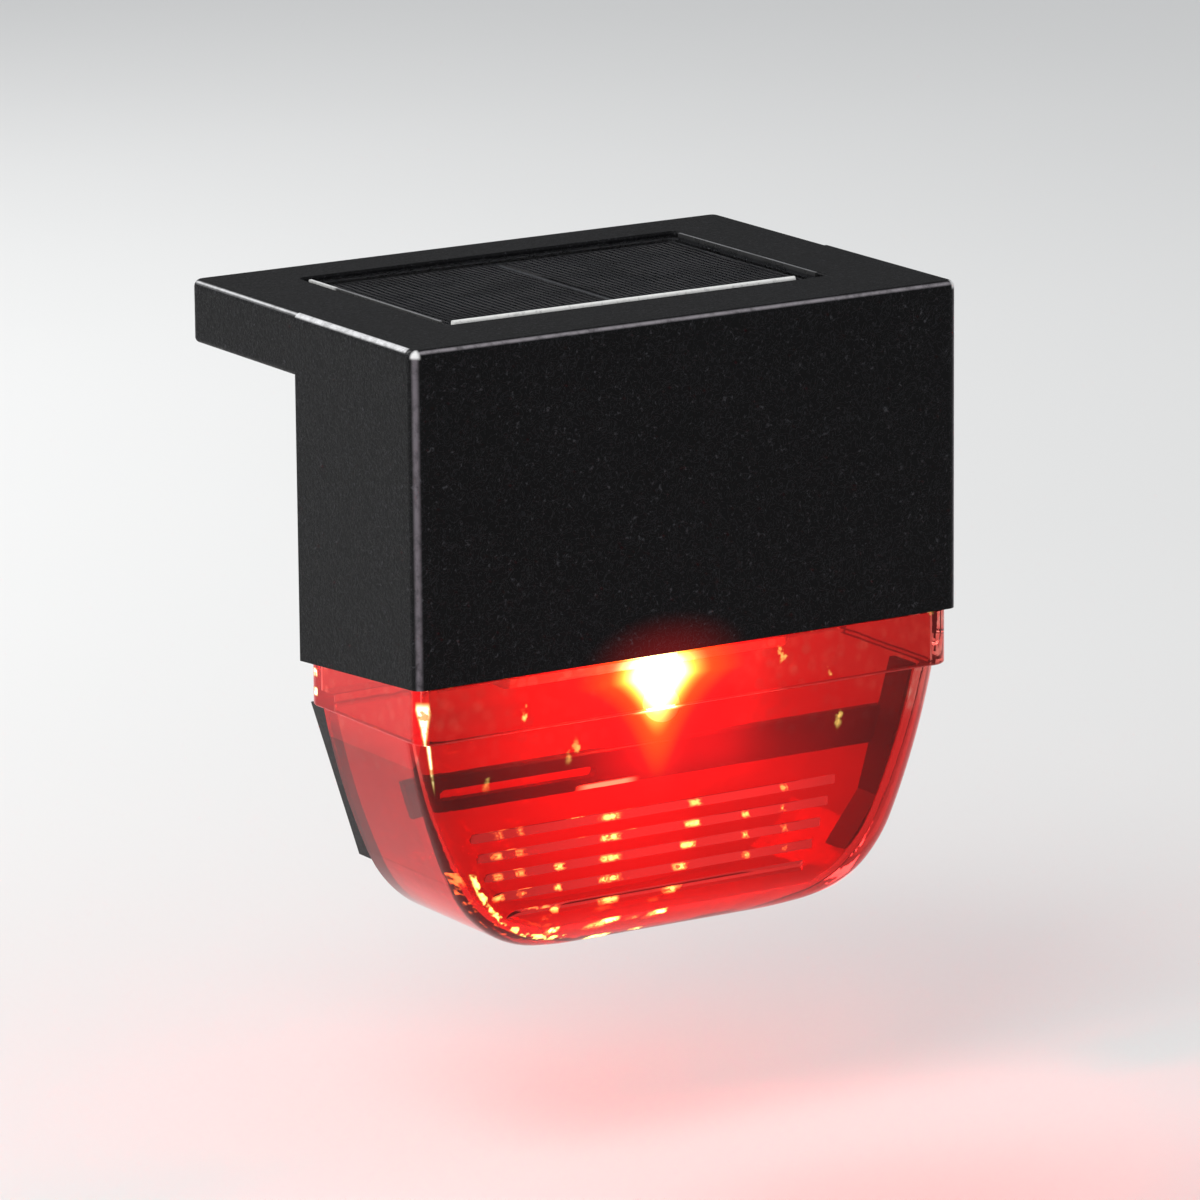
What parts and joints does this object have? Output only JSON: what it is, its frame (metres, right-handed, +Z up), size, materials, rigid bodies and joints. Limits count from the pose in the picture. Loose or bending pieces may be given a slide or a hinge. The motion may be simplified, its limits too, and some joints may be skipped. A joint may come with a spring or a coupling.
{
  "type": "solar fence light",
  "caption": "Solar fence light with a black housing whose roof overhangs the fence, a solar panel on top and a ribbed clear lens below lit by a red lamp.",
  "frame": {"origin": "middle of the inner corner under the roof's overhang, where the housing's back face meets the overhang's underside", "axes": "+Z up, -Y out of the fence towards the viewer, +Y back over the fence, X along the fence"},
  "size_m": [0.098, 0.069, 0.0997],
  "materials": {
    "housing_plastic": "fine-textured moulded",
    "clear_plastic": "clear, polished, ribbed inside",
    "panel_resin": "clear poured resin",
    "silicon": "dark cells with fine grid lines",
    "board_white": "laminate board",
    "sealant": "smooth bead",
    "frame_plastic": "moulded",
    "inner_plastic": "moulded",
    "screw_steel": "zinc plated",
    "cell_sleeve": "shrink sleeve and bare steel ends",
    "contact_nickel": "nickel plated",
    "led_epoxy": "clear red epoxy",
    "lead_tin": "tinned",
    "collar_plastic": "moulded",
    "circuit_laminate": "green solder mask",
    "chip_epoxy": "moulded",
    "ferrite": "ferrite with copper winding",
    "resistor_body": "thick film",
    "capacitor_can": "sleeved can",
    "switch_shell": "stamped",
    "slider_plastic": "moulded",
    "wire_red": "insulation",
    "wire_black": "insulation"
  },
  "bodies": {
    "housing": {"housing": "housing_plastic", "solar_cover": "panel_resin", "solar_cells": "silicon", "solar_board": "board_white", "panel_sealant": "sealant", "base_plate": "inner_plastic", "base_screws": "screw_steel", "battery": "cell_sleeve", "spring_contact": "contact_nickel", "plate_contact": "contact_nickel", "led": "led_epoxy", "led_legs": "lead_tin", "led_collar": "collar_plastic", "circuit_board": "circuit_laminate", "circuit_screws": "screw_steel", "controller_chip": "chip_epoxy", "inductor": "ferrite", "resistors": "resistor_body", "capacitor": "capacitor_can", "switch_body": "switch_shell", "battery_wire_red": "wire_red", "battery_wire_black": "wire_black", "panel_wire_red": "wire_red", "panel_wire_black": "wire_black", "switch_wires": "wire_black"},
    "lens": {"lens": "clear_plastic", "rear_strip": "frame_plastic", "inner_frame": "frame_plastic"},
    "battery_lid": {"battery_lid": "inner_plastic"},
    "switch_slider": {"switch_slider": "slider_plastic"}
  },
  "joints": [
    {"name": "lens_pull", "type": "slide", "parent": "housing", "child": "lens", "axis": [0, 0, -1], "range_m": [0, 0.03]},
    {"name": "battery_lid_pull", "type": "slide", "parent": "housing", "child": "battery_lid", "axis": [0, 0, -1], "range_m": [0, 0.012]},
    {"name": "switch_slide", "type": "slide", "parent": "housing", "child": "switch_slider", "axis": [1, 0, 0], "range_m": [0, 0.0025]}
  ]
}
